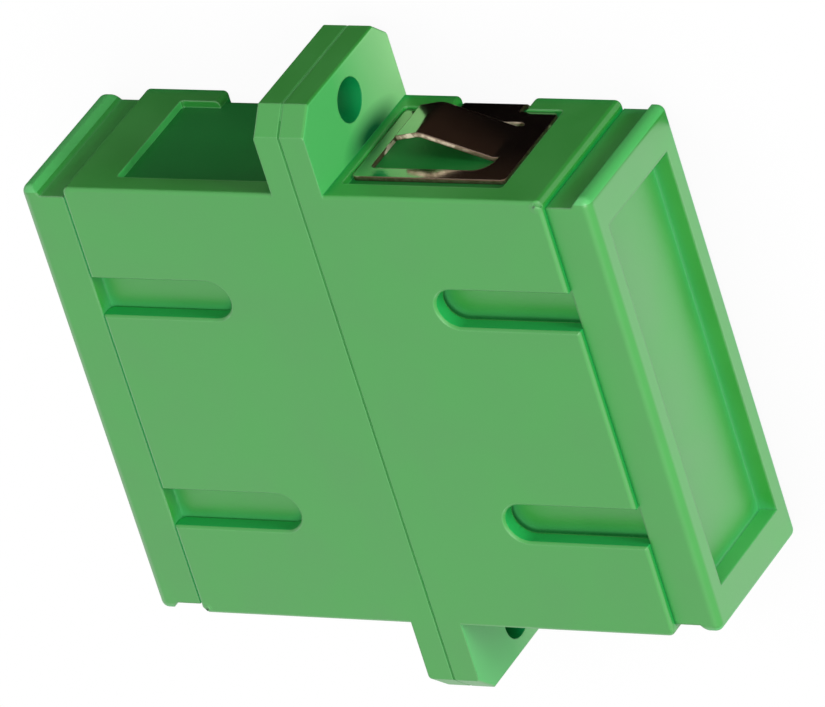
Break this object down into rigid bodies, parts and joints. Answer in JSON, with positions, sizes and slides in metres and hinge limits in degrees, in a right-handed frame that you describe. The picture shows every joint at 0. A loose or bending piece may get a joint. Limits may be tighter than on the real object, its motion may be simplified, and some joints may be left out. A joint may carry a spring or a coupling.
{
  "type": "fibre optic adapter",
  "caption": "Flanged duplex SC fibre adapter with push-in dust caps at both ends and a metal panel clip, for joining connector pairs through a panel.",
  "frame": {"origin": "centre of the flange, on the weld plane between the two housing halves", "axes": "+X across the two ports; +Y along the fibre, towards the rear half; +Z towards the keyway side"},
  "size_m": [0.0346, 0.0324, 0.0092],
  "materials": {
    "housing_plastic": "moulded satin green",
    "cap_plastic": "moulded satin green",
    "spring_steel": "bright rolled stainless strip",
    "insert_plastic": "moulded natural",
    "sleeve_ceramic": "ground zirconia"
  },
  "bodies": {
    "adapter": {"front_housing": "housing_plastic", "rear_housing": "housing_plastic", "panel_clip": "spring_steel", "front_insert_left": "insert_plastic", "front_insert_right": "insert_plastic", "rear_insert_left": "insert_plastic", "rear_insert_right": "insert_plastic", "sleeve_left": "sleeve_ceramic", "sleeve_right": "sleeve_ceramic"},
    "front_cap": {"front_dust_cap": "cap_plastic"},
    "rear_cap": {"rear_dust_cap": "cap_plastic"}
  },
  "joints": [
    {"name": "front_cap_pull", "type": "slide", "parent": "adapter", "child": "front_cap", "axis": [0, -1, 0], "range_m": [0, 0.012]},
    {"name": "rear_cap_pull", "type": "slide", "parent": "adapter", "child": "rear_cap", "axis": [0, 1, 0], "range_m": [0, 0.012]}
  ]
}
